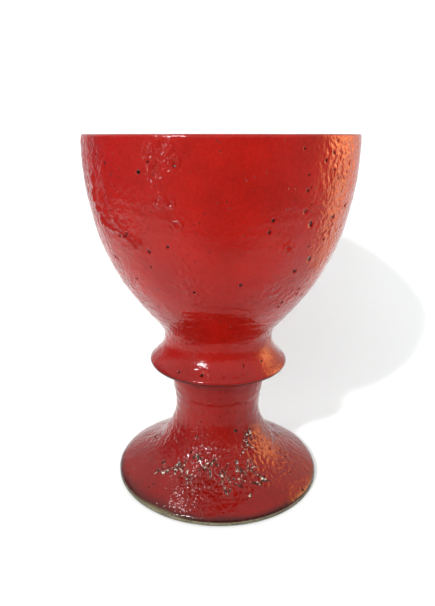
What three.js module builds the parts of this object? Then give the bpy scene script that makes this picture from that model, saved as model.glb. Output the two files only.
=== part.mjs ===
// A footed ceramic chalice: a deep bowl, a flared collar and a hollow pedestal, each thrown on the
// wheel, luted together with clay slip and coated in one thick gloss glaze.
// Millimetres, +Z up. The origin is on the axis, at the level of the surface the chalice stands on.
// Every piece is turned about Z, so each one is drawn as half a cross-section of (radius, height)
// points that runs with its material on the left.

import * as THREE from 'three';

// ---- Driving dimensions (mm) ----

const HEIGHT = 192;            // standing surface to rim
const RIM_RADIUS = 70;         // widest point of the bowl, just under the rim
const RIM_WIDTH = 4;           // wall thickness at the rim, glaze included
const RIM_ROUNDING = 2;        // height of the rounding at the rim
const LAND_WIDTH = 1.6;        // level ring on top of the rim
const BELLY_RADIUS = 38.3;     // where the side of the bowl turns into the neck
const BELLY_Z = 98.3;
const FLOOR_Z = 97;            // bottom of the drinking bowl, on the axis
const UNDERSIDE_Z = 87;        // underside of the bowl's floor, inside the pedestal
const NECK_RADIUS = 30.2;      // where the bowl meets the collar
const NECK_Z = 84.3;
const LIP_RADIUS = 38.8;       // the collar's drooping lip
const LIP_Z = 69.9;
const LIP_DROP = 1.7;          // height of the rounding under the lip
const STEM_RADIUS = 26.3;      // the pedestal, just under the collar
const STEM_TOP_Z = 70.1;       // shoulder that the collar sits on
const WAIST_RADIUS = 24.2;     // narrowest point of the pedestal
const WAIST_Z = 41.6;
const FOOT_RADIUS = 58.5;      // edge of the foot
const FOOT_RING_RADIUS = 53.5; // inner edge of the flat ring it stands on

const GLAZE = 0.8;             // thickness of the glaze coats
const GLAZE_END_Z = 2.4;       // the foot is wiped clean of glaze below this
const SLIP = 0.6;              // thickness of the slip in the joints

// The bowl and the pedestal each have a short hollow spigot that sits in the collar's bore.
const SPIGOT_RADIUS = 20;
const BORE_RADIUS = SPIGOT_RADIUS + SLIP;
const SPIGOT_HOLLOW = 15;      // radius inside the spigots
const BOWL_SPIGOT_Z = 79;      // lower end of the bowl's spigot
const STEM_SPIGOT_Z = 75;      // upper end of the pedestal's spigot
const STEM_HOLLOW = 18;        // radius inside the stem
const COIL_GAP = 0.3;          // left round the coil between the two spigots

const SIDES = 36;              // sides of every turned piece
const CURVE_STEPS = 4;         // straight steps in each curve of an outline

// ---- Materials ----

const redGlaze = { color: 0xa3201a, roughness: 0.12, metalness: 0 };
const stoneware = { color: 0x86795c, roughness: 0.85, metalness: 0 };
const driedSlip = { color: 0x75684e, roughness: 0.9, metalness: 0 };

// ---- Helpers ----

const at = (radius, height) => new THREE.Vector2(radius, height);

// The points of one open outline, to which `draw` adds the lines and curves.
function outline(start, draw) {
  const path = new THREE.Path();
  path.moveTo(start.x, start.y);
  draw(path);
  return path.getPoints(CURVE_STEPS);
}

// The same outline moved into the material on its left by the thickness of the glaze.
// A point on the axis moves straight down, so that it stays on the axis.
function underGlaze(surface) {
  return surface.map((point, index) => {
    const before = surface[Math.max(index - 1, 0)];
    const after = surface[Math.min(index + 1, surface.length - 1)];
    const along = after.clone().sub(before).normalize();
    const radius = point.x === 0 ? 0 : point.x - along.y * GLAZE;
    return at(radius, point.y + along.x * GLAZE);
  });
}

// A mesh of one cross-section turned about Z. A section that doesn't start on the axis is a ring,
// and is closed on itself.
function turned(name, material, section) {
  const profile = section[0].x === 0 ? section : [...section, section[0]];
  const geometry = new THREE.LatheGeometry(profile, SIDES);
  geometry.rotateX(Math.PI / 2);
  const mesh = new THREE.Mesh(geometry, new THREE.MeshStandardMaterial(material));
  mesh.name = name;
  return mesh;
}

// The glaze between a finished surface and the clay surface under it.
function coat(name, surface, clay) {
  return turned(name, redGlaze, [...surface, ...[...clay].reverse()]);
}

// ---- Finished surfaces ----

// Bowl, outside: upright at the neck, a cove out to the belly, the long side of the bowl, and
// a rounded rim with a level land.
function bowlOutside() {
  const landOuter = RIM_RADIUS - (RIM_WIDTH - LAND_WIDTH) / 2;
  const landInner = landOuter - LAND_WIDTH;
  const rimInner = RIM_RADIUS - RIM_WIDTH;
  const roundingZ = HEIGHT - RIM_ROUNDING;
  return outline(at(NECK_RADIUS, NECK_Z - SLIP / 2), (path) => {
    path.lineTo(NECK_RADIUS, NECK_Z + SLIP / 2);
    path.bezierCurveTo(NECK_RADIUS, NECK_Z + 5, BELLY_RADIUS - 6, BELLY_Z - 7, BELLY_RADIUS, BELLY_Z);
    path.bezierCurveTo(51, 113, 60.2, 128.5, 64.7, 145.8);
    path.bezierCurveTo(68.6, 160.5, 70.5, 175, RIM_RADIUS, roundingZ);
    path.quadraticCurveTo(RIM_RADIUS, HEIGHT, landOuter, HEIGHT);
    path.lineTo(landInner, HEIGHT);
    path.quadraticCurveTo(rimInner, HEIGHT, rimInner, roundingZ);
  });
}

// Bowl, inside: down the wall and across the shallow dish of the floor to the axis.
function bowlInside() {
  return outline(at(RIM_RADIUS - RIM_WIDTH, HEIGHT - RIM_ROUNDING), (path) => {
    path.bezierCurveTo(66.3, 172, 63.5, 158, 59.5, 145);
    path.bezierCurveTo(55, 130, 46, 116, 36, 106);
    path.bezierCurveTo(28, 98.5, 14, FLOOR_Z, 0, FLOOR_Z);
  });
}

// Collar: out along the underside from the stem, round the lip, and up a cove to the neck.
function collarOutside() {
  const lipBottom = LIP_Z - LIP_DROP;
  return outline(at(STEM_RADIUS, STEM_TOP_Z), (path) => {
    path.lineTo(LIP_RADIUS - LIP_DROP, lipBottom);
    path.quadraticCurveTo(LIP_RADIUS - 0.2, lipBottom, LIP_RADIUS, LIP_Z);
    path.bezierCurveTo(
      LIP_RADIUS + 0.3, LIP_Z + 1.9, NECK_RADIUS, NECK_Z - 8, NECK_RADIUS, NECK_Z - SLIP / 2,
    );
  });
}

// Pedestal, outside: over the rounded edge of the foot, up the flare to the waist, and up the
// stem to the collar.
function pedestalOutside() {
  return outline(at(FOOT_RADIUS, GLAZE_END_Z), (path) => {
    path.quadraticCurveTo(FOOT_RADIUS, 3.6, FOOT_RADIUS - 1.2, 4.4);
    path.bezierCurveTo(50, 9.2, 41.5, 12, 36.5, 16.5);
    path.bezierCurveTo(31, 21.5, WAIST_RADIUS, 32, WAIST_RADIUS, WAIST_Z);
    path.bezierCurveTo(WAIST_RADIUS, 51, STEM_RADIUS, 52, STEM_RADIUS, 62);
    path.lineTo(STEM_RADIUS, STEM_TOP_Z);
  });
}

// Pedestal, inside: down the spigot, out into the stem's hollow, and down the flare to the ring.
function pedestalInside() {
  return outline(at(SPIGOT_HOLLOW, STEM_SPIGOT_Z), (path) => {
    path.lineTo(SPIGOT_HOLLOW, 68);
    path.quadraticCurveTo(STEM_HOLLOW, 65, STEM_HOLLOW, 60);
    path.lineTo(STEM_HOLLOW, WAIST_Z);
    path.bezierCurveTo(STEM_HOLLOW, 24, 30, 10.5, FOOT_RING_RADIUS - 2, 3);
    path.lineTo(FOOT_RING_RADIUS, 0);
  });
}

const bowlSurface = bowlOutside();
const linerSurface = bowlInside();
const collarSurface = collarOutside();
const pedestalSurface = pedestalOutside();

// The clay runs on under the rim, where the outer glaze and the liner glaze meet.
const rimIndex = bowlSurface.length - 1;
const cupClay = underGlaze([...bowlSurface, ...linerSurface.slice(1)]);
const bowlClay = cupClay.slice(0, rimIndex + 1);
const linerClay = cupClay.slice(rimIndex);
const collarClay = underGlaze(collarSurface);
const pedestalClay = underGlaze(pedestalSurface);

// ---- Pieces ----

// Thrown bowl with a solid floor and a short hollow spigot under it.
function bowl() {
  return turned('bowl', stoneware, [
    at(0, UNDERSIDE_Z),
    at(SPIGOT_HOLLOW - 3, UNDERSIDE_Z - 1),
    at(SPIGOT_HOLLOW, UNDERSIDE_Z - 4),
    at(SPIGOT_HOLLOW, BOWL_SPIGOT_Z),
    at(SPIGOT_RADIUS, BOWL_SPIGOT_Z),
    at(SPIGOT_RADIUS, NECK_Z + SLIP / 2),
    ...cupClay.slice(1),
  ]);
}

// Thrown ring with a straight bore and a lip that hangs over the stem.
function collar() {
  return turned('collar', stoneware, [
    at(BORE_RADIUS, collarClay[0].y),
    ...collarClay,
    at(BORE_RADIUS, NECK_Z - SLIP / 2),
  ]);
}

// Thrown hollow stem and foot in one, with a spigot on top and a flat ring to stand on.
function pedestal() {
  const bareEdge = [
    at(FOOT_RING_RADIUS, 0),
    at(FOOT_RADIUS - 0.5, 0),
    at(FOOT_RADIUS, 0.6),
    at(FOOT_RADIUS, GLAZE_END_Z - 0.3),
  ];
  return turned('pedestal', stoneware, [
    ...bareEdge,
    ...pedestalClay,
    at(SPIGOT_RADIUS, STEM_TOP_Z),
    at(SPIGOT_RADIUS, STEM_SPIGOT_Z),
    ...pedestalInside().slice(0, -1),
  ]);
}

// Coil of soft clay pressed between the two spigots from inside and smoothed to a round belly.
function reinforcingCoil() {
  const bottom = STEM_SPIGOT_Z + COIL_GAP;
  const top = BOWL_SPIGOT_Z - COIL_GAP;
  const outer = BORE_RADIUS - COIL_GAP;
  const shoulder = SPIGOT_HOLLOW + 1;
  return turned('reinforcing_coil', stoneware, [
    at(outer, bottom),
    at(outer, top),
    ...outline(at(shoulder, top), (path) => {
      path.bezierCurveTo(SPIGOT_HOLLOW - 1, top, SPIGOT_HOLLOW - 1, bottom, shoulder, bottom);
    }),
  ]);
}

// Slip between the bowl and the collar: down the bore, and out across the neck.
function upperSlipSeam() {
  const outer = NECK_RADIUS - GLAZE;
  return turned('upper_slip_seam', driedSlip, [
    at(SPIGOT_RADIUS, BOWL_SPIGOT_Z),
    at(BORE_RADIUS, BOWL_SPIGOT_Z),
    at(BORE_RADIUS, NECK_Z - SLIP / 2),
    at(outer, NECK_Z - SLIP / 2),
    at(outer, NECK_Z + SLIP / 2),
    at(SPIGOT_RADIUS, NECK_Z + SLIP / 2),
  ]);
}

// Slip between the pedestal and the collar: across the shoulder, and up the bore.
function lowerSlipSeam() {
  const collarBottom = collarClay[0];
  return turned('lower_slip_seam', driedSlip, [
    at(SPIGOT_RADIUS, STEM_TOP_Z),
    at(STEM_RADIUS, STEM_TOP_Z),
    collarBottom,
    at(BORE_RADIUS, collarBottom.y),
    at(BORE_RADIUS, STEM_SPIGOT_Z),
    at(SPIGOT_RADIUS, STEM_SPIGOT_Z),
  ]);
}

// ---- Assembly ----

const chalice = new THREE.Group();
chalice.add(
  bowl(),
  collar(),
  pedestal(),
  reinforcingCoil(),
  upperSlipSeam(),
  lowerSlipSeam(),
  coat('bowl_glaze', bowlSurface, bowlClay),
  coat('liner_glaze', linerSurface, linerClay),
  coat('collar_glaze', collarSurface, collarClay),
  coat('pedestal_glaze', pedestalSurface, pedestalClay),
);

export default chalice;
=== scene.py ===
"""A footed ceramic chalice in a thick red gloss glaze, on a pale floor in soft light.

Lengths in this file are millimetres, turned into metres where a mesh, a light or the camera is
made. Azimuths are degrees round the axis from the front, -Y, towards +X. Every piece is turned
about Z: an outline of (radius, height) points, with the material on its left, is carried round
the axis, and a relief then moves each point along its normal.
"""

import math

import bpy
import numpy as np
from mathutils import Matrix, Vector


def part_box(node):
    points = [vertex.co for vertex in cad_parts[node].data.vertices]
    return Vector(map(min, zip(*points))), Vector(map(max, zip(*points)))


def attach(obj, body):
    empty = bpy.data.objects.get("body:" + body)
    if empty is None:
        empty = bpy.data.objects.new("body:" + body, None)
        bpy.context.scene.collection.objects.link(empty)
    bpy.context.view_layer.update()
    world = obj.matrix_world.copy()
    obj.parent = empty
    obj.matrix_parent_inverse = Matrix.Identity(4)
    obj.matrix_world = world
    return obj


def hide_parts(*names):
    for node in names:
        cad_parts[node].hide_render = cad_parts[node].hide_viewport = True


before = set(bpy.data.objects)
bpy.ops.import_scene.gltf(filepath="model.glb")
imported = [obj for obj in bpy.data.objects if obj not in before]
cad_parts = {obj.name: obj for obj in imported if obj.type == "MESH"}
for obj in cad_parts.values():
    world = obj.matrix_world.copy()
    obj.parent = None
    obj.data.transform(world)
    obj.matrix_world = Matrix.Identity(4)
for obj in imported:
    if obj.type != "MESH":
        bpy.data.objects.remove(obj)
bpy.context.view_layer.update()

MM = 0.001
BODY = "root"
ON_AXIS = 1e-6  # points nearer to the axis than this lie on it
STAGE_GREY = (0.875, 0.9, 0.9)
DAYLIGHT = (1, 0.99, 0.98)
PALE_SKY = (0.97, 0.98, 1.0)


# ---- Sizes ----

def top(node):
    """Highest corner of a CAD node's box."""
    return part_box(node)[1] / MM


def bottom(node):
    """Lowest corner of a CAD node's box."""
    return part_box(node)[0] / MM


relief_room = 0.12  # the relief stays inside the CAD box, so the widest places are this much less
rim_z = top("bowl_glaze").z
rim_radius = top("bowl_glaze").x - relief_room
rim_width = 3.9
neck_z = top("collar_glaze").z
neck_radius = 30.2
belly_radius = 38.3
belly_z = 98.3
lip_radius = top("collar_glaze").x - relief_room
lip_z = bottom("collar_glaze").z + 1.7
shoulder_z = top("pedestal_glaze").z
stem_radius = 26.3
waist_radius = 24.2
waist_z = 41.6
foot_radius = top("pedestal").x - relief_room
glaze_end_z = bottom("pedestal_glaze").z + 0.1
glaze_depth = 0.8
cup_floor_z = bottom("liner_glaze").z + glaze_depth
spigot_radius = 20.0
spigot_z = top("pedestal").z
bore_radius = 20.6
hollow_radius = 18.0
spigot_hollow = 15.0
plug_z = bottom("bowl").z
ring_radius = 53.5
ring_z = 0.08
underside_z = 87.0
seam = 0.6  # thickness of the slip between two pieces


# ---- Outlines ----

def outline(spacing, start, *strokes):
    """Outline from `start`, with points about `spacing` apart. A stroke lists the control points
    and the end of one Bezier curve, so a stroke of one point is a straight line. A curve is the
    sum of its points, weighted by the Bernstein polynomials of its degree."""
    points = [np.array([start], float)]
    samples = 61
    fine = np.linspace(0, 1, samples)[:, None]
    for stroke in strokes:
        control = np.array([points[-1][-1], *stroke])
        degree = len(stroke)
        curve = sum(
            math.comb(degree, k) * fine**k * (1 - fine) ** (degree - k) * control[k]
            for k in range(degree + 1)
        )
        length = np.concatenate([[0], np.cumsum(np.hypot(*np.diff(curve, axis=0).T))])
        even = np.linspace(0, length[-1], max(1, round(length[-1] / spacing)) + 1)[1:]
        points.append(np.column_stack([np.interp(even, length, curve[:, k]) for k in (0, 1)]))
    return np.concatenate(points)


def outward(points):
    """Unit normals of an outline, to the right of its direction. Those on the axis are upright."""
    along = np.gradient(points, axis=0)
    along[points[:, 0] < ON_AXIS, 1] = 0
    along /= np.linalg.norm(along, axis=1, keepdims=True)
    return np.column_stack([along[:, 1], -along[:, 0]])


def under_glaze(surface):
    """The clay outline that lies the depth of the glaze under a finished surface."""
    return surface - outward(surface) * glaze_depth


def bowl_outside(spacing):
    """Neck, belly and wall of the bowl, over its rim and just into the inside."""
    return outline(
        spacing,
        (neck_radius, neck_z),
        [(neck_radius, neck_z + 5.3), (32.3, 91.3), (belly_radius, belly_z)],
        [(51, 113), (60.2, 128.5), (64.7, 145.8)],
        [(68.6, 160.5), (rim_radius + 0.5, 175), (rim_radius, rim_z - 2.1)],
        [(rim_radius, rim_z - 0.1), (rim_radius - 1.2, rim_z - 0.1)],
        [(rim_radius - rim_width + 1.2, rim_z - 0.1)],
        [(rim_radius - rim_width, rim_z - 0.1), (rim_radius - rim_width, rim_z - 2.1)],
    )


def bowl_inside(spacing):
    """Inside of the bowl, from just under the rim to the middle of its floor."""
    return outline(
        spacing,
        (rim_radius - rim_width, rim_z - 2.1),
        [(66.3, 172), (63.5, 158), (59.5, 145)],
        [(55, 130), (46, 116), (36, 106)],
        [(28, 98.5), (14, cup_floor_z), (0, cup_floor_z)],
    )


def collar_outside(spacing):
    """Underside of the collar's lip, the lip, and the cove up to the bowl's neck."""
    return outline(
        spacing,
        (stem_radius, shoulder_z),
        [(lip_radius - 1.7, lip_z - 1.7)],
        [(lip_radius - 0.2, lip_z - 1.7), (lip_radius, lip_z)],
        [(lip_radius + 0.3, lip_z + 1.9), (neck_radius, 76.3), (neck_radius, neck_z)],
    )


def pedestal_outside(spacing):
    """Glazed edge of the foot, its flare, the waist and the stem."""
    return outline(
        spacing,
        (foot_radius, glaze_end_z),
        [(foot_radius, glaze_end_z + 1.2), (foot_radius - 1.2, glaze_end_z + 2)],
        [(50, 9.2), (41.5, 12), (36.5, 16.5)],
        [(31, 21.5), (waist_radius, 32), (waist_radius, waist_z)],
        [(waist_radius, 51), (stem_radius, 52), (stem_radius, 62)],
        [(stem_radius, shoulder_z)],
    )


# ---- Turning an outline into a mesh ----

def column_angles(columns, crowding=0.0):
    """Angles of the columns in radians, round from the back. `crowding` draws them towards the
    front: angle = even angle - crowding x sine of the even angle."""
    even = np.linspace(-math.pi, math.pi, columns, endpoint=False)
    return even - crowding * np.sin(even)


def turned(points, angles):
    """The grid of an outline carried round Z: its point (radius, height) at an angle goes to
    (radius x sine, -radius x cosine, height)."""
    radius = points[:, :1]
    height = np.broadcast_to(points[:, 1:], (len(points), len(angles)))
    return np.stack([radius * np.sin(angles), -radius * np.cos(angles), height], axis=-1)


def turned_mesh(name, grid, closed, masks=None):
    """Mesh of a grid whose columns join up into rings, and whose rows do so too if `closed`.
    A row on the axis becomes one vertex with triangles round it. Each mask becomes a vertex
    attribute."""
    rows, columns = grid.shape[:2]
    index = np.arange(rows * columns).reshape(rows, columns)
    on_axis = radius_of(grid).max(axis=1) < ON_AXIS
    index[on_axis] = index[on_axis, :1]
    used, index = np.unique(index, return_inverse=True)
    index = index.reshape(rows, columns)
    if closed:
        index = np.concatenate([index, index[:1]])
    right = np.roll(index, -1, axis=1)
    quads = np.stack([index[:-1], right[:-1], right[1:], index[1:]], axis=-1).reshape(-1, 4)
    low_pole = quads[:, 0] == quads[:, 1]
    high_pole = quads[:, 2] == quads[:, 3]
    faces = quads[~low_pole & ~high_pole].tolist()
    faces += quads[low_pole & ~high_pole, 1:].tolist()
    faces += quads[high_pole & ~low_pole, :3].tolist()
    mesh = bpy.data.meshes.new(name)
    mesh.from_pydata((grid.reshape(-1, 3)[used] * MM).tolist(), [], faces)
    mesh.shade_smooth()
    mesh.set_sharp_from_angle(angle=math.radians(65))
    for mask, values in (masks or {}).items():
        layer = mesh.attributes.new(mask, "FLOAT", "POINT")
        layer.data.foreach_set("value", values.reshape(-1)[used].astype(np.float32))
    return mesh


def add_piece(mesh, material, node):
    """An object at the origin that rides with the chalice in place of its CAD node."""
    mesh.materials.append(material)
    piece = bpy.data.objects.new(mesh.name, mesh)
    bpy.context.scene.collection.objects.link(piece)
    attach(piece, BODY)
    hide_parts(node)


# ---- Fields over a surface ----

def step(low, high, value):
    """0 below `low`, 1 above `high`, and a smooth step between them."""
    share = np.clip((value - low) / (high - low), 0, 1)
    return share * share * (3 - 2 * share)


def noise(points, size, seed):
    """Smooth random field from -1 to 1 with bumps about `size` across: random values on a cubic
    lattice, blended between the eight corners round each point by a smooth step."""
    repeat = 40
    shift = 100  # the lattices of all sizes share a corner, which this keeps off the chalice
    lattice = np.random.default_rng(seed).uniform(-1, 1, (repeat, repeat, repeat))
    place = points / size + shift
    cell = np.floor(place).astype(int)
    part = step(0, 1, place - cell)
    total = np.zeros(points.shape[:-1])
    for corner in np.ndindex(2, 2, 2):
        weight = np.prod(np.where(corner, part, 1 - part), axis=-1)
        spot = (cell + corner) % repeat
        total += weight * lattice[spot[..., 0], spot[..., 1], spot[..., 2]]
    return total


def bell(distance, width):
    """Bell curve of a distance: 1 at nothing, about a third at `width`."""
    return np.exp(-((distance / width) ** 2))


def wobbled(points, size, amount, seed):
    """The same points pushed about by up to `amount`, so that drawn shapes come out ragged."""
    push = np.stack([noise(points, size, seed + k) for k in range(3)], axis=-1)
    return points + amount * push


def azimuth_of(points):
    """Azimuth of each grid point in degrees."""
    return np.degrees(np.arctan2(points[..., 0], -points[..., 1]))


def radius_of(points):
    """Distance of each grid point from the axis."""
    return np.hypot(points[..., 0], points[..., 1])


def height_of(points):
    """Height of each grid point above the floor."""
    return points[..., 2]


def spot_on(surface, azimuth, height):
    """The point of a turned surface at an azimuth and a height, and the direction round it."""
    order = np.argsort(surface[:, 1])
    radius = np.interp(height, surface[order, 1], surface[order, 0])
    angle = math.radians(azimuth)
    point = np.array([radius * math.sin(angle), -radius * math.cos(angle), height])
    return point, np.array([math.cos(angle), math.sin(angle), 0])


def pits(points, surface, places):
    """Pinholes at (azimuth, height, radius) places: how deep, 0 to 1, flat over the middle, and
    how high the glaze stands round them, 0 to 1, in a ring."""
    depth = np.zeros(points.shape[:-1])
    ring = np.zeros(points.shape[:-1])
    for azimuth, height, radius in places:
        point, _ = spot_on(surface, azimuth, height)
        away = np.linalg.norm(points - point, axis=-1) / radius
        depth = np.maximum(depth, 1 - step(0.4, 1.1, away))
        ring = np.maximum(ring, bell(away - 1.5, 0.35))
    return depth, ring


def gouges(points, surface, marks):
    """Long narrow marks, each (azimuth, height, half length, half width, lean in degrees from
    straight up): how deep, 0 to 1. Across a mark the depth falls off as a smooth step."""
    depth = np.zeros(points.shape[:-1])
    for azimuth, height, length, width, lean in marks:
        point, aside = spot_on(surface, azimuth, height)
        offset = points - point
        across = offset @ aside
        up = np.sign(offset[..., 2]) * np.sqrt(
            np.maximum((offset**2).sum(axis=-1) - across**2, 0)
        )
        sine = math.sin(math.radians(lean))
        cosine = math.cos(math.radians(lean))
        along = (across * sine + up * cosine) / length
        beside = (across * cosine - up * sine) / width
        depth = np.maximum(depth, 1 - step(0.35, 1.1, np.hypot(along, beside)))
    return depth


def ridges(points, surface, lines, width):
    """Thin ridges along lines of (azimuth, height) places: how high, 0 to 1, as a bell curve of
    the distance from the nearest stretch of line."""
    height = np.zeros(points.shape[:-1])
    for line in lines:
        corners = [spot_on(surface, *place)[0] for place in line]
        for start, end in zip(corners, corners[1:]):
            run = end - start
            share = np.clip((points - start) @ run / (run @ run), 0, 1)
            away = np.linalg.norm(points - start - share[..., None] * run, axis=-1)
            height = np.maximum(height, bell(away, width))
    return height


def patches(points, surface, places):
    """Soft round areas at (azimuth, height, radius) places, 0 to 1."""
    cover = np.zeros(points.shape[:-1])
    for azimuth, height, radius in places:
        point, _ = spot_on(surface, azimuth, height)
        cover = np.maximum(cover, bell(np.linalg.norm(points - point, axis=-1), radius))
    return cover


def scattered(count, heights, radii, seed, azimuths=(-180, 180)):
    """Random (azimuth, height, radius) places, each between two limits, mostly small."""
    rng = np.random.default_rng(seed)
    small, large = radii
    return list(zip(
        rng.uniform(*azimuths, count),
        rng.uniform(*heights, count),
        small + (large - small) * rng.uniform(0, 1, count) ** 2,
    ))


# ---- Relief of each surface, in mm outwards, with the masks that its material reads ----

# Pinholes that stand out on the bowl: azimuth, height, radius.
BOWL_PITS = [
    (35, 154, 1.7), (31, 160, 1.2), (31, 169, 0.9), (18, 157, 1.0), (17, 152, 1.0),
    (48, 156, 1.1), (55, 149, 1.0), (45, 146, 0.9), (40, 137, 1.3), (33, 132, 1.2),
    (44, 118, 1.0), (43, 120.5, 1.0), (34, 112, 1.0), (35, 114.5, 1.0), (8, 127, 0.9),
    (42, 184, 0.9), (38, 181, 0.9), (44, 189, 0.8), (28, 186, 0.8), (43, 177, 0.9),
    (48, 173, 0.9), (57, 160, 0.9), (-17, 179.5, 0.9), (-31, 177, 1.1), (-27, 181, 0.8),
    (-48, 179.5, 0.9), (-61, 166.7, 1.0), (-58, 152, 1.1), (-40, 149, 1.1), (-46, 148, 0.9),
    (-22, 145, 0.9), (-31, 141.7, 1.0), (-44, 126, 0.9), (-56, 135.5, 1.0), (-13, 123, 0.9),
    (-32, 134, 0.8),
]
# Thin raised lines where the glaze wrinkled, each a run of (azimuth, height) places.
BOWL_RIDGES = [
    [(-49, 180), (-52, 174), (-56, 168), (-58, 161), (-58, 155), (-54, 151), (-46, 149),
     (-40, 146), (-37, 143)],
    [(-50, 177), (-49, 168), (-48, 162), (-47, 156), (-44, 152), (-39, 149), (-34, 145)],
    [(-59, 174), (-60, 167), (-60, 160), (-58, 154)],
    [(-54, 165), (-53, 159), (-51, 154)],
]
# Blistered areas: azimuth, height, radius.
BOWL_BLISTERS = [
    (-22, 186, 5), (-18, 182, 5), (-25, 178, 4), (-23, 165, 3.5), (-18, 155, 4), (-38, 146, 6),
    (26, 144, 5), (45, 150, 8), (50, 178, 14), (24, 124, 7), (-15, 128, 9), (36, 116, 7),
]
# Burst bubbles that left a raised ring: azimuth, height, radius.
BOWL_CRATERS = [
    (-21, 187, 2.3), (-17, 181, 1.3), (-24, 179, 1.1), (-27, 184, 1.0), (-13, 184, 0.9),
    (-23, 165, 1.6), (-19, 164, 1.1), (-17, 155, 1.3), (-41, 148, 1.4), (26, 144, 1.2),
]
COLLAR_PITS = [(-15, 73.5, 1.0), (22, 77, 0.8), (-36, 73, 0.8), (43, 77, 0.7), (140, 75, 0.9)]
FOOT_PITS = [
    (54, 4.6, 1.1), (22, 35, 1.2), (39, 32, 1.1), (30, 27, 1.0), (42, 28, 0.9), (71, 13, 0.8),
    (59, 10, 0.9), (-46, 9, 0.8), (-47, 7.3, 0.8), (-28, 31.5, 0.7), (-30, 23.4, 0.9),
]
# Middles of the places where the glaze crawled on the foot: azimuth, height.
FOOT_CRAWLS = [
    (-48, 13), (-42, 14), (-35, 15.5), (-30, 15), (-24, 13.5), (-20, 22), (-7, 20), (-12, 18),
    (2, 15.5), (4, 12.2), (15, 17), (18, 14.5), (19, 12.5), (30, 18.5), (31, 13), (36, 12.5),
    (40, 31), (33, 27), (95, 16), (128, 14), (160, 17), (-95, 15), (-130, 13), (-165, 16),
]


def throwing_rings(points, pitch):
    """Faint grooves of the potter's fingers, about `pitch` apart, that wander up and down."""
    wander = 2.0 * noise(points, 45, 3)
    return np.sin(2 * math.pi * height_of(points) / pitch + wander) * noise(points, 30, 4)


def glaze_skin(points, lumpy):
    """Unevenness of the glaze: soft swells everywhere, and lumps where `lumpy` is 1."""
    swells = 0.12 * noise(points, 14, 12) + 0.07 * noise(points, 6.5, 13)
    lumps = 0.20 * noise(points, 3.8, 14) + 0.09 * noise(points, 1.7, 15)
    return swells + lumps * (0.10 + 0.90 * lumpy)


def combed(points, round_size, up_size, seed):
    """Random field with bumps of one size round the axis and another size up it."""
    squash = np.array([1, 1, round_size / up_size])
    return noise(points * squash, round_size, seed)


def bowl_pinholes():
    """Pinholes all round the bowl: those that stand out, and small ones at random."""
    places = list(BOWL_PITS)
    places += scattered(60, (92, 187), (0.5, 0.9), seed=21, azimuths=(75, 285))
    places += scattered(26, (100, 188), (0.4, 0.6), seed=22, azimuths=(28, 75))
    places += scattered(22, (100, 188), (0.4, 0.6), seed=23, azimuths=(-80, -25))
    return places


def bowl_lumpiness(points, blisters):
    """How lumpy the bowl's glaze is, 0 to 1: at both sides, less by the ridges, and in blisters."""
    azimuth = azimuth_of(points)
    sides = step(22, 60, np.abs(azimuth - 3))
    by_ridges = step(40, 50, -azimuth) * (1 - step(62, 72, -azimuth))
    lumpy = np.clip(sides * (0.6 + 0.5 * noise(points, 18, 11)) + 0.8 * blisters, 0, 1)
    return lumpy * (1 - 0.3 * by_ridges)


def bowl_streaks(points):
    """Upright streaks on the left of the bowl, and level brush marks, deepest low down."""
    azimuth = azimuth_of(points)
    left = step(35, 62, -azimuth) * step(-125, -95, azimuth)
    low = 1 - step(98, 130, height_of(points))
    upright = 0.17 * left * combed(points, 2.2, 10, 17)
    return upright + (0.03 + 0.09 * low) * combed(points, 7, 1.4, 20)


def bowl_relief(points, surface):
    """Outside of the bowl: smooth in front, lumpy at the sides, with streaks on the left. The
    relief is calmer by the rim, and stays within the rim's radius."""
    ragged = wobbled(points, 2.2, 0.45, 16)
    blisters = patches(points, surface, BOWL_BLISTERS)
    lumpy = bowl_lumpiness(points, blisters)
    lines = ridges(wobbled(points, 4, 1.2, 18), surface, BOWL_RIDGES, 0.7)
    depth, ring = pits(ragged, surface, bowl_pinholes())
    _, crater = pits(ragged, surface, BOWL_CRATERS)
    hollows = [(azimuth, height, 2 * radius) for azimuth, height, radius in BOWL_CRATERS]
    dip = patches(points, surface, hollows)
    lift = glaze_skin(points, 0.8 * lumpy) + bowl_streaks(points)
    lift += 0.05 * throwing_rings(points, 6.2) + 0.34 * blisters * noise(points, 1.3, 19)
    lift += 0.75 * crater - 0.45 * dip + 1.3 * lines + 0.14 * ring
    calm = 1 - 0.8 * step(rim_z - 3.5, rim_z - 1.2, height_of(points))
    spare = rim_radius - radius_of(points)
    lift = np.minimum(lift * calm - 0.18, 0.07 + 0.9 * spare)
    return lift - 0.7 * depth, {"pit": depth, "rough": np.clip(0.15 + lumpy, 0, 1)}


def liner_relief(points, surface):
    """Inside of the bowl: calmer, because this glaze was poured in and out, with the spiral
    that the potter's finger left on the floor."""
    radius = radius_of(points)
    places = scattered(40, (105, 185), (0.4, 0.8), seed=31)
    depth, ring = pits(points, surface, places)
    spiral = 0.25 * np.sin(radius + np.radians(azimuth_of(points))) * (1 - step(20, 45, radius))
    skin = glaze_skin(points, 0.3) + 0.05 * throwing_rings(points, 7.5) + spiral
    return skin * step(2, 8, radius) + 0.08 * ring - 0.5 * depth, {"pit": depth}


def collar_relief(points, surface):
    """Collar: the glaze is thin and brown along the edge of the lip, most on the left."""
    places = COLLAR_PITS + scattered(10, (70, 82), (0.4, 0.7), seed=41, azimuths=(75, 285))
    depth, ring = pits(points, surface, places)
    left = bell(azimuth_of(points) + 62, 28)
    from_edge = height_of(points) - lip_z + 1.1 + 0.4 * noise(points, 6, 42)
    edge = bell(from_edge, 0.9 + 1.2 * left)
    edge *= step(lip_radius - 1.5 - left, lip_radius - 0.2, radius_of(points))
    lift = glaze_skin(points, 0.3) + 0.04 * combed(points, 7, 1.3, 43)
    masks = {"pit": depth, "edge": edge, "rough": np.full_like(depth, 0.25)}
    return lift - 0.15 + 0.08 * ring - 0.4 * depth, masks


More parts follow.
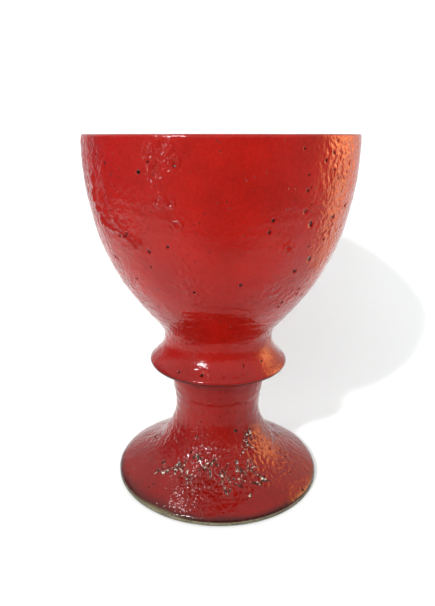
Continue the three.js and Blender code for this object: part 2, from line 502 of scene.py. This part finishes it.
def crawl_marks():
    """Short torn marks in the glaze: five round each crawled place, leaning both ways."""
    rng = np.random.default_rng(51)
    marks = []
    for azimuth, height in FOOT_CRAWLS:
        for _ in range(5):
            marks.append((
                azimuth + rng.normal(0, 3.5),
                height + rng.normal(0, 1.3),
                rng.uniform(1.0, 4.4),
                rng.uniform(0.4, 0.95),
                rng.uniform(-60, 60),
            ))
    return marks


def foot_crust(points):
    """Crust on the flare of the foot, thickest in front, and how rough the glaze is, 0 to 1."""
    azimuth = azimuth_of(points)
    height = height_of(points)
    flare = step(8, 13, height) * (1 - step(24, 38, height))
    rough = flare * (0.35 + 0.65 * bell(azimuth - 5, 55))
    burst = bell(azimuth + 17, 24) * bell(height - 21, 10)
    crust = 0.26 * noise(points, 2.2, 62) + 0.32 * noise(points, 1.2, 63)
    crust += 0.20 * combed(points, 1.5, 4.0, 65)
    crust += 0.42 * burst * noise(points, 1.2, 67)
    return rough * crust, rough


def foot_edge(points):
    """Where the glaze is thin above the bare clay, and where it was wiped off, each 0 to 1."""
    azimuth = azimuth_of(points)
    above_clay = height_of(points) - glaze_end_z + 0.6 * noise(points, 7, 64)
    thin = 1 - step(0.5, 3.2 + 2.6 * bell(azimuth + 45, 28), above_clay)
    wiped = bell(azimuth + 36, 14) * (1 - step(0.8, 2.0, above_clay))
    return thin, wiped


def pedestal_relief(points, surface):
    """Stem and foot: rough and torn on the flare, with thin dark glaze at the bottom edge. The
    glaze stands up a little round each torn mark."""
    ragged = wobbled(points, 1.5, 0.5, 52)
    marks = crawl_marks()
    wide = [
        (azimuth, height, length + 0.8, width + 0.7, lean)
        for azimuth, height, length, width, lean in marks
    ]
    torn = gouges(ragged, surface, marks)
    raised = gouges(ragged, surface, wide) * (1 - torn)
    places = FOOT_PITS + scattered(40, (5, 60), (0.4, 0.8), seed=61)
    depth, ring = pits(ragged, surface, places)
    crust, rough = foot_crust(points)
    thin, wiped = foot_edge(points)
    stem = step(22, 34, height_of(points))
    lift = glaze_skin(points, 0.45) + (0.06 + 0.04 * stem) * throwing_rings(points, 5.4)
    lift += 0.10 * stem * combed(points, 2.4, 12, 66)
    lift += crust + 0.28 * raised + 0.10 * ring
    masks = {
        "pit": depth,
        "bare": torn,
        "edge": thin,
        "wiped": wiped,
        "rough": 0.2 + 0.8 * rough,
    }
    return lift - 0.2 - 0.45 * torn - 0.45 * depth, masks


def clay_relief(points):
    """Gritty unevenness of bare clay."""
    return 0.05 * noise(points, 3.0, 71) + 0.03 * noise(points, 1.1, 72) - 0.05


# ---- Pieces ----

def add_glaze(name, outside, relief, fades, columns, spacing, crowding, material, node):
    """Glaze as a closed shell: the finished surface with its relief, and a plain clay side.
    The relief fades out over a length at either end, where the glaze meets its neighbour."""
    first_fade, last_fade = fades
    angles = column_angles(columns, crowding)
    surface = outside(spacing)
    back = under_glaze(outside(8))[::-1]
    grid = turned(surface, angles)
    lift, masks = relief(grid, surface)
    along = np.arange(len(surface)) * spacing
    on_axis = surface[:, 0] < ON_AXIS
    fade = step(0, first_fade, along)
    if not on_axis[-1]:
        fade = fade * step(0, last_fade, along[::-1])
    lift = lift * fade[:, None]
    lift[on_axis] = lift[-1, 0]
    grid = grid + turned(outward(surface), angles) * lift[..., None]
    back_rows = ((0, len(back)), (0, 0))
    masks = {mask: np.pad(values, back_rows) for mask, values in masks.items()}
    whole = np.concatenate([grid, turned(back, angles)])
    mesh = turned_mesh(name, whole, closed=True, masks=masks)
    add_piece(mesh, material, node)


def add_clay(name, section, columns, material, node, gritty=True):
    """A solid of bare clay, turned from its whole cross-section."""
    angles = column_angles(columns)
    ring = section[0][0] > ON_AXIS
    points = section[:-1] if ring else section
    grid = turned(points, angles)
    if gritty:
        grid = grid + turned(outward(points), angles) * clay_relief(grid)[..., None]
    # Painted shade: the clay darkens within about a millimetre of the floor.
    floor_shade = 1 - step(0.2, 1.1, height_of(grid) + 0.4 * noise(grid, 4, 73))
    add_piece(turned_mesh(name, grid, ring, {"floor_shade": floor_shade}), material, node)


def bowl_clay_section():
    """Bowl from the middle of its underside, round its spigot, to the middle of its inside."""
    underside = outline(
        1.5,
        (0, underside_z),
        [(10, underside_z - 0.4)],
        [(spigot_hollow, underside_z - 0.8), (spigot_hollow, underside_z - 4)],
        [(spigot_hollow, plug_z)],
        [(spigot_radius, plug_z)],
        [(spigot_radius, neck_z + seam)],
        [(neck_radius - glaze_depth - seam, neck_z + seam)],
    )
    outside = under_glaze(bowl_outside(2))
    inside = under_glaze(bowl_inside(2))
    return np.concatenate([underside, outside[1:], inside[1:]])


def collar_clay_section():
    """Collar: from its underside round the lip, over the top and down the bore."""
    clay = under_glaze(collar_outside(1.5))
    inner = outline(
        1.5,
        (clay[-1][0], neck_z),
        [(bore_radius, neck_z)],
        [(bore_radius, clay[0][1])],
        [tuple(clay[0])],
    )
    return np.concatenate([clay, inner])


def pedestal_clay_section():
    """Pedestal: bare ring and rim of the foot, the stem under its glaze, and the hollow."""
    ring = outline(
        0.4,
        (ring_radius, ring_z),
        [(foot_radius - 0.5, ring_z)],
        [(foot_radius, 0.6)],
        [(foot_radius, glaze_end_z)],
    )
    stem = under_glaze(pedestal_outside(1.2))
    hollow = outline(
        1.5,
        (stem[-1][0], shoulder_z),
        [(spigot_radius, shoulder_z)],
        [(spigot_radius, spigot_z)],
        [(spigot_hollow, spigot_z)],
        [(spigot_hollow, 68)],
        [(hollow_radius, 65), (hollow_radius, 60)],
        [(hollow_radius, waist_z)],
        [(hollow_radius, 24), (30, 10.5), (ring_radius - 2, 3)],
        [(ring_radius, ring_z)],
    )
    return np.concatenate([ring, stem[1:], hollow])


def coil_section():
    """Reinforcing coil: flat against the spigot joint, and rounded towards the hollow."""
    low = bottom("reinforcing_coil").z
    high = top("reinforcing_coil").z
    outer = top("reinforcing_coil").x
    inner = 16
    return outline(
        0.8,
        (inner, low),
        [(outer, low)],
        [(outer, high)],
        [(inner, high)],
        [(inner - 2, high), (inner - 2, low), (inner, low)],
    )


def upper_seam_section():
    """Dried slip between the collar and the bowl: a sleeve with a flange on top."""
    low = bottom("upper_slip_seam").z
    high = top("upper_slip_seam").z
    reach = top("upper_slip_seam").x
    return outline(
        1.5,
        (spigot_radius, low),
        [(bore_radius, low)],
        [(bore_radius, neck_z)],
        [(reach, neck_z)],
        [(reach, high)],
        [(spigot_radius, high)],
        [(spigot_radius, low)],
    )


def lower_seam_section():
    """Dried slip between the pedestal and the collar: a flange with a sleeve over it."""
    low = bottom("lower_slip_seam").z
    high = top("lower_slip_seam").z
    reach = top("lower_slip_seam").x
    return outline(
        1.5,
        (spigot_radius, low),
        [(reach, low)],
        [(bore_radius, low + 0.8)],
        [(bore_radius, high)],
        [(spigot_radius, high)],
        [(spigot_radius, low)],
    )


# ---- Materials ----

# Colours are linear red, green and blue.
BLACK = (0, 0, 0)
WHITE = (1, 1, 1)
# Painted shade in a pit, with the dark clay at its bottom.
PIT_SHADE_AND_CLAY = (0.003, 0.001, 0.001)
# Painted shade in the tiny pinholes.
PINPRICK_SHADE_RED = (0.10, 0.006, 0.005)
THIN_BROWN = (0.022, 0.004, 0.003)
WIPED_CLAY = (0.13, 0.11, 0.06)
# Painted shade where the clay meets the floor.
FLOOR_CONTACT_SHADE = (0.02, 0.017, 0.01)
# What shows in a torn mark: near-black, partly dark clay and partly painted shade in the
# crack; brown; and pale clay, partly a painted highlight for the glints along the marks.
TORN_CLAY_SHADE_AND_GLINT = [
    (0.48, (0.012, 0.008, 0.005)),
    (0.56, (0.07, 0.05, 0.03)),
    (0.62, (0.66, 0.62, 0.52)),
]
# Painted shade: tint of the red at a share of the rim's height, darker from the lower bowl
# down and most on the foot, for the shade under the bowl and the collar.
HEIGHT_SHADE_TINTS = [
    (0.04, (0.62, 0.62, 0.62)),
    (0.20, (0.70, 0.74, 0.74)),
    (0.34, (0.75, 0.76, 0.76)),
    (0.40, (0.88, 0.88, 0.88)),
    (0.52, (0.94, 0.88, 0.88)),
    (0.68, WHITE),
]


def add_node(tree, kind, links=None, values=None, **settings):
    """A node with its settings, its plain socket values and its links from other outputs."""
    made = tree.nodes.new(kind)
    for key, value in settings.items():
        setattr(made, key, value)
    for socket, value in (values or {}).items():
        made.inputs[socket].default_value = value
    for socket, source in (links or {}).items():
        tree.links.new(source, made.inputs[socket])
    return made


def new_material(name):
    """A material with an empty node tree, and that tree."""
    material = bpy.data.materials.new(name)
    material.use_nodes = True
    material.node_tree.nodes.clear()
    return material, material.node_tree


def use_shader(tree, shader):
    """Makes a shader node the surface of its material."""
    add_node(tree, "ShaderNodeOutputMaterial", {"Surface": shader.outputs["BSDF"]})


def mottle(tree, place, across, detail=2.0):
    """Soft random pattern, 0 to 1, with blotches `across` mm wide."""
    made = add_node(tree, "ShaderNodeTexNoise", {"Vector": place},
                    {"Scale": 1 / (across * MM), "Detail": detail})
    return made.outputs["Fac"]


def ramp(tree, factor, *stops):
    """Colour ramp of (position, colour) stops."""
    made = add_node(tree, "ShaderNodeValToRGB", {"Fac": factor})
    elements = made.color_ramp.elements
    while len(elements) < len(stops):
        elements.new(0.5)
    for element, (position, colour) in zip(elements, stops):
        element.position = position
        element.color = (*colour, 1)
    return made.outputs["Color"]


def mixed(tree, factor, first, second, blend="MIX"):
    """Mix of two colours. The factor and either colour may be a value or another output."""
    made = add_node(tree, "ShaderNodeMix", data_type="RGBA", blend_type=blend)
    for number, source in ((0, factor), (6, first), (7, second)):
        socket = made.inputs[number]
        if isinstance(source, tuple):
            socket.default_value = (*source, 1)
        elif isinstance(source, float):
            socket.default_value = source
        else:
            tree.links.new(source, socket)
    return made.outputs[2]


def scaled(tree, value, factor, offset=0.0):
    """value x factor + offset."""
    made = add_node(tree, "ShaderNodeMath", {0: value}, {1: factor, 2: offset},
                    operation="MULTIPLY_ADD")
    return made.outputs["Value"]


def maths(tree, operation, first, second):
    """The result of one maths operation on two outputs."""
    made = add_node(tree, "ShaderNodeMath", {0: first, 1: second}, operation=operation)
    return made.outputs["Value"]


def bumped(tree, height, strength, depth, under=None, invert=False):
    """Normal bent by a height pattern `depth` mm deep, on top of the normal `under`."""
    links = {"Height": height}
    if under is not None:
        links["Normal"] = under
    made = add_node(tree, "ShaderNodeBump", links,
                    {"Strength": strength, "Distance": depth * MM}, invert=invert)
    return made.outputs["Normal"]


def mesh_mask(tree, name):
    """A mask that the piece's mesh carries."""
    return add_node(tree, "ShaderNodeAttribute", attribute_name=name).outputs["Fac"]


def pinprick_mask(tree, place):
    """Tiny pinholes, 0 to 1, about 3 mm apart in clusters: near the middle of a Voronoi cell,
    where a broad pattern is high. The glaze's colour paints shade into them as dark red."""
    cells = add_node(tree, "ShaderNodeTexVoronoi", {"Vector": place},
                     {"Scale": 1 / (3.0 * MM), "Randomness": 1.0})
    hole = add_node(tree, "ShaderNodeMapRange", {"Value": cells.outputs["Distance"]},
                    {"From Min": 0.10, "From Max": 0.17, "To Min": 1.0, "To Max": 0.0})
    cluster = add_node(tree, "ShaderNodeMapRange", {"Value": mottle(tree, place, 12)},
                       {"From Min": 0.50, "From Max": 0.56})
    return maths(tree, "MULTIPLY", hole.outputs["Result"], cluster.outputs["Result"])


def height_shade(tree, place):
    """Painted shade: darkens the red from the neck down, most on the foot, for the shade
    under the bowl and the collar.
    """
    height = add_node(tree, "ShaderNodeSeparateXYZ", {"Vector": place}).outputs["Z"]
    share = scaled(tree, height, 1 / (rim_z * MM))
    return ramp(tree, share, *HEIGHT_SHADE_TINTS)


def glaze_colour(tree, place, thin, thick, pricks):
    """Mottled red, brown where it is thin, clay where it crawled, and painted shade and highlight:
    the torn marks' dark and pale, dark red in pinholes, near-black in a pit, darker lower down.
    """
    clouds = ramp(tree, mottle(tree, place, 22, 3), (0.35, thin), (0.65, thick))
    flecks = ramp(tree, mottle(tree, place, 1.3, 4), (0.38, (0.90, 0.85, 0.85)), (0.6, WHITE))
    # Painted shade and highlight: the torn marks' near-black and pale patches stand partly for
    # shade in the cracks and glints at their edges.
    torn = ramp(tree, mottle(tree, place, 1.6, 3), *TORN_CLAY_SHADE_AND_GLINT)
    # Painted shade: near-black in a pit, partly the shade of its hollow and partly dark clay
    # showing.
    hole = ramp(tree, mesh_mask(tree, "pit"), (0.25, BLACK), (0.6, WHITE))
    colour = mixed(tree, 1.0, clouds, flecks, "MULTIPLY")
    # Painted shade: darker from the neck down to the foot.
    colour = mixed(tree, 1.0, colour, height_shade(tree, place), "MULTIPLY")
    colour = mixed(tree, scaled(tree, mesh_mask(tree, "edge"), 0.95), colour, THIN_BROWN)
    colour = mixed(tree, mesh_mask(tree, "wiped"), colour, WIPED_CLAY)
    colour = mixed(tree, mesh_mask(tree, "bare"), colour, torn)
    # Painted shade: dark red in the tiny pinholes.
    colour = mixed(tree, scaled(tree, pricks, 0.8), colour, PINPRICK_SHADE_RED)
    return mixed(tree, hole, colour, PIT_SHADE_AND_CLAY)


def red_glaze(name, thin, thick):
    """Thick red gloss glaze with orange-peel bumps under a sharp gloss."""
    material, tree = new_material(name)
    place = add_node(tree, "ShaderNodeTexCoord").outputs["Object"]
    pricks = pinprick_mask(tree, place)
    colour = glaze_colour(tree, place, thin, thick, pricks)
    lumps = maths(tree, "MULTIPLY", mottle(tree, place, 2.4, 1), mesh_mask(tree, "rough"))
    peel = bumped(tree, mottle(tree, place, 1.7, 2), strength=0.7, depth=0.25)
    crust = bumped(tree, lumps, strength=0.7, depth=1.0, under=peel)
    holes = bumped(tree, pricks, strength=0.7, depth=0.3, under=crust, invert=True)
    gloss = scaled(tree, mottle(tree, place, 5), 0.14, 0.02)
    rough = maths(tree, "MAXIMUM", gloss, scaled(tree, mesh_mask(tree, "bare"), 0.4))
    shader = add_node(
        tree, "ShaderNodeBsdfPrincipled",
        {"Base Color": colour, "Roughness": rough, "Normal": holes},
        {"IOR": 1.37},
    )
    use_shader(tree, shader)
    return material


def bare_clay(name, dark, light):
    """Matt fired clay: olive-grey with dark specks of grog, gritty, and darkened at the very
    bottom by painted shade where it meets the floor.
    """
    material, tree = new_material(name)
    place = add_node(tree, "ShaderNodeTexCoord").outputs["Object"]
    body = ramp(tree, mottle(tree, place, 7, 3), (0.3, dark), (0.7, light))
    grog = ramp(tree, mottle(tree, place, 0.7), (0.34, (0.35, 0.33, 0.3)), (0.42, WHITE))
    colour = mixed(tree, 1.0, body, grog, "MULTIPLY")
    # Painted shade at the very bottom, where the foot meets the floor.
    colour = mixed(tree, scaled(tree, mesh_mask(tree, "floor_shade"), 0.8), colour, FLOOR_CONTACT_SHADE)
    grit = bumped(tree, mottle(tree, place, 0.8, 4), strength=0.6, depth=0.3)
    shader = add_node(
        tree, "ShaderNodeBsdfPrincipled",
        {"Base Color": colour, "Normal": grit},
        {"Roughness": 0.85},
    )
    use_shader(tree, shader)
    return material


def plain_material(name, colour):
    """One even matt colour."""
    material, tree = new_material(name)
    shader = add_node(tree, "ShaderNodeBsdfPrincipled",
                      values={"Base Color": (*colour, 1), "Roughness": 0.9,
                              "Specular IOR Level": 0.0})
    use_shader(tree, shader)
    return material


def one_sided_material(name, colour):
    """One even matt colour in front, and clear from behind."""
    material, tree = new_material(name)
    matt = add_node(tree, "ShaderNodeBsdfDiffuse", values={"Color": (*colour, 1)})
    clear = add_node(tree, "ShaderNodeBsdfTransparent")
    side = add_node(tree, "ShaderNodeNewGeometry").outputs["Backfacing"]
    shown = add_node(tree, "ShaderNodeMixShader", {
        0: side, 1: matt.outputs["BSDF"], 2: clear.outputs["BSDF"],
    })
    add_node(tree, "ShaderNodeOutputMaterial", {"Surface": shown.outputs["Shader"]})
    return material


def glowing_material(name):
    """Glows by the mesh's own colours, and lets light through where their alpha is low."""
    material, tree = new_material(name)
    colour = add_node(tree, "ShaderNodeAttribute", attribute_name="glow")
    light = add_node(tree, "ShaderNodeEmission", {"Color": colour.outputs["Color"]})
    clear = add_node(tree, "ShaderNodeBsdfTransparent")
    shown = add_node(tree, "ShaderNodeMixShader", {
        0: colour.outputs["Alpha"], 1: clear.outputs["BSDF"], 2: light.outputs["Emission"],
    })
    add_node(tree, "ShaderNodeOutputMaterial", {"Surface": shown.outputs["Shader"]})
    return material


# ---- Stage ----

def stage_object(name, mesh, material):
    """An object that isn't part of the chalice."""
    mesh.materials.append(material)
    made = bpy.data.objects.new(name, mesh)
    bpy.context.scene.collection.objects.link(made)
    return made


def add_floor():
    """Pale square floor, 40 m to each side."""
    reach = 40
    corners = [(-reach, -reach, 0), (reach, -reach, 0), (reach, reach, 0), (-reach, reach, 0)]
    mesh = bpy.data.meshes.new("floor")
    mesh.from_pydata(corners, [], [(0, 1, 2, 3)])
    stage_object("floor", mesh, plain_material("floor", STAGE_GREY))


def add_backdrop():
    """Pale sheet that curves up from the floor behind the chalice to catch its shadow. It is
    clear from behind, and the gloss doesn't see it."""
    wall_y = 153
    bend = 90
    low = 0.3
    high = 900
    half_width = 1500
    path = outline(6, (wall_y - bend, low), [(wall_y, low), (wall_y, low + bend)], [(wall_y, high)])
    across = np.array([-half_width, half_width])
    points = [(x * MM, y * MM, z * MM) for y, z in path for x in across]
    faces = [(2 * k, 2 * k + 1, 2 * k + 3, 2 * k + 2) for k in range(len(path) - 1)]
    mesh = bpy.data.meshes.new("backdrop")
    mesh.from_pydata(points, [], faces)
    mesh.shade_smooth()
    backdrop = stage_object("backdrop", mesh, one_sided_material("backdrop", STAGE_GREY))
    backdrop.visible_glossy = False


# Darker and lighter stretches of the room's wall: azimuth, half width, change of brightness.
WALL_SHADES = [(14, 26, -0.16), (-100, 18, -0.16), (-52, 16, 0.22), (66, 18, 0.15)]
# What is added to the grey of the room, as linear red, green and blue.
WARM_WALL = (1.4, 0.4, 0.1)
SUNSET = (10.0, 4.2, 1.6)
COOL_WALL = (-0.02, 0.0, 0.06)
LIT_FLOOR = (0.5, 0.5, 0.4)


def room_glow(azimuth, radius, height):
    """Colour and cover of the room that the gloss mirrors. The floor is pale near the chalice
    and dim further off, nearest in front. The walls are dim in front and on the left, pale
    behind, and warm on the right behind."""
    front = bell(azimuth - 4, 58)
    near = 50 + 290 * (1 - front)
    far = 300 + 360 * (1 - front)
    away = np.maximum(step(near, far, radius), 0.45 * front)
    behind = step(108, 150, np.abs(azimuth + 4))
    wall = 0.28 + 0.5 * behind
    for middle, half_width, change in WALL_SHADES:
        wall += change * bell(azimuth - middle, half_width)
    wall = np.clip(wall, 0.05, 1)[..., None]
    middle_z = 100
    elevation = np.degrees(np.arctan2(height - middle_z, radius))
    sunset = bell(azimuth - 103, 15) * bell(elevation - 14, 21)
    warm = bell(azimuth - 114, 26)[..., None] * WARM_WALL
    warm += sunset[..., None] * SUNSET
    cool = bell(azimuth + 105, 45)[..., None] * COOL_WALL
    on_floor = height < 1.5
    lit = bell(azimuth - 108, 30) * step(150, 300, radius) * on_floor
    colour = wall + warm + cool
    colour += lit[..., None] * LIT_FLOOR
    cover = np.maximum(away * (1 - behind * on_floor), 0.9 * lit)
    cover = np.maximum(cover * (1 - step(450, 800, height)), np.minimum(3 * sunset, 1))
    return np.concatenate([colour, cover[..., None]], axis=-1)


def add_room():
    """Dim room round the chalice, a disc of floor and a round wall, that only the gloss sees."""
    inner_radius = 62
    wall_radius = 1300
    wall_height = 1500
    path = outline(25, (inner_radius, 1), [(wall_radius, 1)], [(wall_radius, wall_height)])
    grid = turned(path, column_angles(120))[:, ::-1]
    mesh = turned_mesh("room", grid, closed=False)
    glow = room_glow(azimuth_of(grid), radius_of(grid), height_of(grid))
    layer = mesh.color_attributes.new("glow", "FLOAT_COLOR", "POINT")
    layer.data.foreach_set("color", glow.reshape(-1).astype(np.float32))
    room = stage_object("room", mesh, glowing_material("room"))
    room.visible_camera = False
    room.visible_diffuse = False
    room.visible_shadow = False


def towards(azimuth, elevation, distance):
    """Offset of that length from the middle of the chalice in that direction."""
    flat = math.cos(math.radians(elevation)) * distance
    return Vector((
        flat * math.sin(math.radians(azimuth)),
        -flat * math.cos(math.radians(azimuth)),
        math.sin(math.radians(elevation)) * distance,
    )) * MM


def add_lamp(name, data, azimuth, elevation, distance, strength, colour):
    """A lamp that faces the middle of the chalice and that the camera doesn't see."""
    data.energy = strength
    data.color = colour
    lamp = bpy.data.objects.new(name, data)
    offset = towards(azimuth, elevation, distance)
    lamp.location = offset + Vector((0, 0, rim_z / 2 * MM))
    lamp.rotation_euler = (-offset).to_track_quat("-Z", "Y").to_euler()
    lamp.visible_camera = False
    bpy.context.scene.collection.objects.link(lamp)
    return lamp


def add_softbox(name, azimuth, elevation, width, height, strength, colour):
    """Rectangular lamp 1.2 m away that only the gloss sees."""
    data = bpy.data.lights.new(name, "AREA")
    data.shape = "RECTANGLE"
    data.size = width * MM
    data.size_y = height * MM
    distance = 1200
    box = add_lamp(name, data, azimuth, elevation, distance, strength, colour)
    box.visible_diffuse = False


def add_key(name, azimuth, elevation, strength, colour):
    """Distant light that throws a shadow, without a glint of its own."""
    data = bpy.data.lights.new(name, "SUN")
    data.angle = math.radians(2.5)
    distance = 5000
    key = add_lamp(name, data, azimuth, elevation, distance, strength, colour)
    key.visible_glossy = False


def add_world():
    """Even white light from all round."""
    world = bpy.data.worlds.new("studio")
    world.use_nodes = True
    background = world.node_tree.nodes["Background"]
    background.inputs["Color"].default_value = (1.0, 1.0, 1.0, 1)
    background.inputs["Strength"].default_value = 1.0
    bpy.context.scene.world = world


def add_camera():
    """Camera level with the rim, tipped down to the chalice."""
    data = bpy.data.cameras.new("camera")
    data.sensor_width = 36
    data.lens = 32.94
    data.shift_x = 0.0272
    data.shift_y = 0.002
    data.clip_start = 0.01
    camera = bpy.data.objects.new("camera", data)
    camera.location = Vector((-9.7, -295.4, 192)) * MM
    tip = 17.13
    camera.rotation_euler = (math.radians(90 - tip), 0, 0)
    bpy.context.scene.collection.objects.link(camera)
    bpy.context.scene.camera = camera


# ---- The chalice ----

glaze = red_glaze("red_glaze", (0.268, 0.0062, 0.0034), (0.338, 0.0078, 0.0042))
liner = red_glaze("liner_glaze", (0.26, 0.0066, 0.0036), (0.30, 0.0074, 0.004))
clay = bare_clay("stoneware", (0.10, 0.085, 0.05), (0.21, 0.185, 0.12))
slip = bare_clay("dried_slip", (0.13, 0.10, 0.06), (0.20, 0.16, 0.10))

add_glaze(
    "bowl_coat", bowl_outside, bowl_relief,
    fades=(8, 2), columns=500, spacing=0.75, crowding=0.35,
    material=glaze, node="bowl_glaze",
)
add_glaze(
    "bowl_lining", bowl_inside, liner_relief,
    fades=(3, 3), columns=360, spacing=0.9, crowding=0.0,
    material=liner, node="liner_glaze",
)
add_glaze(
    "collar_coat", collar_outside, collar_relief,
    fades=(2, 8), columns=480, spacing=0.4, crowding=0.3,
    material=glaze, node="collar_glaze",
)
add_glaze(
    "pedestal_coat", pedestal_outside, pedestal_relief,
    fades=(1.5, 3), columns=640, spacing=0.6, crowding=0.4,
    material=glaze, node="pedestal_glaze",
)
add_clay("bowl_clay", bowl_clay_section(), 180, clay, "bowl")
add_clay("collar_clay", collar_clay_section(), 180, clay, "collar")
add_clay("pedestal_clay", pedestal_clay_section(), 300, clay, "pedestal")
add_clay("joint_coil", coil_section(), 96, clay, "reinforcing_coil")
add_clay("upper_seam", upper_seam_section(), 96, slip, "upper_slip_seam",
         gritty=False)
add_clay("lower_seam", lower_seam_section(), 96, slip, "lower_slip_seam",
         gritty=False)

add_camera()
add_world()
add_floor()
add_backdrop()
add_room()
add_key("key", -35.5, 31.5, 1.0, DAYLIGHT)
add_key("second_key", -34, 34.5, 1.0, DAYLIGHT)
add_key("fill", 65, 12, 0.15, (1, 0.85, 0.78))
add_softbox("window", -38, 38, 130, 140, 9.0, (0.95, 0.98, 1.0))
add_softbox("skylight", -80, 64, 70, 70, 1.3, PALE_SKY)
add_softbox("side_window", -50, 2, 60, 70, 0.7, PALE_SKY)
bpy.context.scene.view_settings.view_transform = "Standard"
